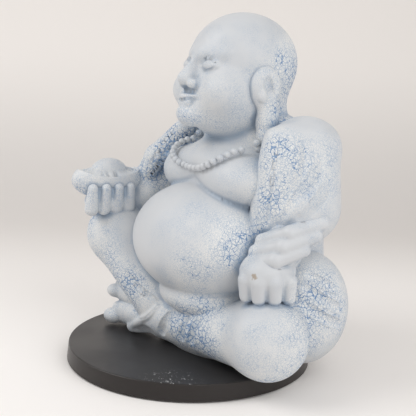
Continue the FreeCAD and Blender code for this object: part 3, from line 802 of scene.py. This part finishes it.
def lacquer_look():
    """Black lacquer, browner down the rim, with rubbed pale scuffs on its top at the front."""
    material, sheet, shader, place = new_look("black_lacquer_look", 0.4)
    wear = use(sheet, WEAR, Place=place)
    split = sheet.put("ShaderNodeSeparateXYZ", {0: place}).outputs
    rim = sheet.ramp(split["Z"], BOARD_TOP - 0.0006, BOARD_TOP - 0.0001, 1.0, 0.0)
    colour = sheet.blend(wear["Slow"], BLACK, SOFT_BLACK)
    colour = sheet.blend(rim, colour, BROWN_BLACK)
    spot = sheet.move("DISTANCE", place, SCUFFS)["Value"]
    near = sheet.ramp(spot, 0.010, 0.042, 1.0, 0.0)
    specks = sheet.ramp(sheet.noise(place, 300.0, 4.0, 1.0), 0.60, 0.68)
    scuff = sheet.reckon("MULTIPLY", near, specks)
    scuff = sheet.reckon("MULTIPLY", scuff, sheet.reckon("SUBTRACT", 1.0, rim))
    sheet.feed(shader.inputs["Base Color"], sheet.blend(scuff, colour, RUBBED_GREY))
    sheet.feed(shader.inputs["Roughness"], sheet.ramp(wear["Slow"], 0.3, 0.7, 0.34, 0.46))
    sheet.bump(shader, wear["Fine"], 0.06, 0.0003)
    return material


# one sheet of paper: its floor colour, and the painted shade across the bend and up the wall
FLOOR_PAPER = (0.90, 0.872, 0.85, 1)
SHADED_PAPER = (0.70, 0.672, 0.65, 1)
WALL_PAPER = (0.88, 0.845, 0.815, 1)


def paper_look():
    """Pale paper with painted shade: darkest where the floor turns up into the wall, and a little
    darker than the floor higher up the wall.
    """
    material, sheet, shader, place = new_look("paper_look", 0.9)
    depth = sheet.move("DOT_PRODUCT", place, away)["Value"]
    colour = sheet.blend(sheet.ramp(depth, 0.15, 0.95), FLOOR_PAPER, SHADED_PAPER)
    height = sheet.put("ShaderNodeSeparateXYZ", {0: place}).outputs["Z"]
    colour = sheet.blend(sheet.ramp(height, 0.02, 0.42), colour, WALL_PAPER)
    sheet.feed(shader.inputs["Base Color"], colour)
    return material


figure_paint = crackle_look("crackle_paint_look", True)
bead_paint = crackle_look("bead_paint_look", False)
black_lacquer = lacquer_look()
zinc = worn_look(
    "zinc_steel_look", (0.42, 0.43, 0.45), (0.56, 0.57, 0.58), 0.42, 1.0, 0.2, 0.1)
ball_steel = worn_look(
    "ball_steel_look", (0.55, 0.55, 0.55), (0.62, 0.62, 0.62), 0.14, 1.0, 0.05)
screw_steel = worn_look(
    "screw_steel_look", (0.36, 0.36, 0.37), (0.50, 0.50, 0.50), 0.32, 1.0, 0.12)
rubber = worn_look(
    "pad_rubber_look", (0.018, 0.018, 0.019), (0.030, 0.030, 0.031), 0.8, 0.0, 0.1, 0.3)
brass = worn_look("insert_brass_look", (0.55, 0.38, 0.14), (0.72, 0.53, 0.24), 0.3, 1.0)
nylon = worn_look("cage_nylon_look", (0.60, 0.60, 0.57), (0.68, 0.68, 0.65), 0.5)
birch = wood_look("birch_board_look", (0.42, 0.30, 0.19), (0.58, 0.45, 0.31), (1.0, 0.08, 1.0))
beech = wood_look("beech_dowel_look", (0.45, 0.29, 0.17), (0.60, 0.42, 0.27), (0.5, 0.5, 0.1))
LOOKS = {
    "base_disc": black_lacquer,
    "foot_plate": birch,
    "dowels": beech,
    "rubber_pad": rubber,
    "threaded_inserts": brass,
    "ball_cage": nylon,
    "bearing_balls": ball_steel,
    "lower_race": zinc,
    "upper_race": zinc,
    "washers": zinc,
    "lower_race_screws": screw_steel,
    "upper_race_screws": screw_steel,
    "figure_screws": screw_steel,
    "prayer_beads": bead_paint,
}

lay_carved_lines()
for name in BLOCKS:
    piece = carved(name)
    piece.data.materials.clear()
    piece.data.materials.append(figure_paint)
for node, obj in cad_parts.items():
    obj.data.materials.clear()
    obj.data.materials.append(LOOKS.get(node, figure_paint))
    obj.hide_render = node in BLOCKS


# ---- floor, light and camera -------------------------------------------------------------------
def soft_light(name, at, aim, size, power):
    data = bpy.data.lights.new(name, "AREA")
    data.shape, data.size, data.size_y = "RECTANGLE", size[0], size[1]
    data.energy = power
    light = bpy.data.objects.new(name, data)
    light.location = at
    light.rotation_euler = (Vector(aim) - Vector(at)).to_track_quat("-Z", "Y").to_euler()
    bpy.context.scene.collection.objects.link(light)


EYE = Vector((0.8408, -0.4854, 0.3639))  # where the camera stands, in metres
AIM = Vector((-0.8424, 0.5092, -0.1765)).normalized()
ROLL = math.radians(1.8)
LENS, SENSOR = 69.2, 36.0

right = AIM.cross(Vector((0, 0, 1))).normalized()
up = right.cross(AIM)
tilted_right = right * math.cos(ROLL) + up * math.sin(ROLL)
tilted_up = up * math.cos(ROLL) - right * math.sin(ROLL)
camera_data = bpy.data.cameras.new("camera")
camera_data.lens, camera_data.sensor_width = LENS, SENSOR
camera = bpy.data.objects.new("camera", camera_data)
camera.matrix_world = Matrix((tilted_right, tilted_up, -AIM)).transposed().to_4x4()
camera.matrix_world.translation = EYE
bpy.context.scene.collection.objects.link(camera)
bpy.context.scene.camera = camera

# a sweep of pale paper: flat floor that curves up into the wall behind the figure
FLOOR_FRONT, FLOOR_HALF, BEND_AT, BEND_RADIUS, WALL_HEIGHT = -2.2, 2.4, 0.75, 0.6, 2.4
BEND_STEPS = 16
rows = [(FLOOR_FRONT, 0.0), (BEND_AT, 0.0)]
rows += [
    (BEND_AT + BEND_RADIUS * math.sin(t), BEND_RADIUS * (1 - math.cos(t)))
    for t in np.linspace(0, math.pi / 2, BEND_STEPS + 1)[1:]
]
rows.append((BEND_AT + BEND_RADIUS, WALL_HEIGHT))
away = Vector((AIM.x, AIM.y, 0)).normalized()
across = Vector((-away.y, away.x, 0))
bm = bmesh.new()
edges = [
    [bm.verts.new(away * y + across * s + Vector((0, 0, z))) for s in (-FLOOR_HALF, FLOOR_HALF)]
    for y, z in rows
]
for a, b in zip(edges, edges[1:]):
    bm.faces.new((a[0], a[1], b[1], b[0])).smooth = True
bmesh.ops.recalc_face_normals(bm, faces=bm.faces)
sweep_mesh = bpy.data.meshes.new("paper_sweep")
bm.to_mesh(sweep_mesh)
bm.free()
sweep = bpy.data.objects.new("paper_sweep", sweep_mesh)
sweep_mesh.materials.append(paper_look())
bpy.context.scene.collection.objects.link(sweep)

world = bpy.data.worlds.new("studio")
bpy.context.scene.world = world
world.use_nodes = True
sky = world.node_tree.nodes["Background"].inputs
sky["Color"].default_value = (1.0, 0.985, 0.97, 1)
sky["Strength"].default_value = 0.55

LIT_POINT = (0, 0, 0.2)  # both lights face the middle of the figure
window_at = EYE * 0.3 - right * 1.3 + Vector((0, 0, 1.3))
fill_at = EYE * 1.1 + right * 0.9 + Vector((0, 0, 0.6))
soft_light("window", window_at, LIT_POINT, (1.2, 1.2), 15)
soft_light("fill", fill_at, LIT_POINT, (1.4, 1.4), 12)
bpy.context.scene.view_settings.view_transform = "Standard"
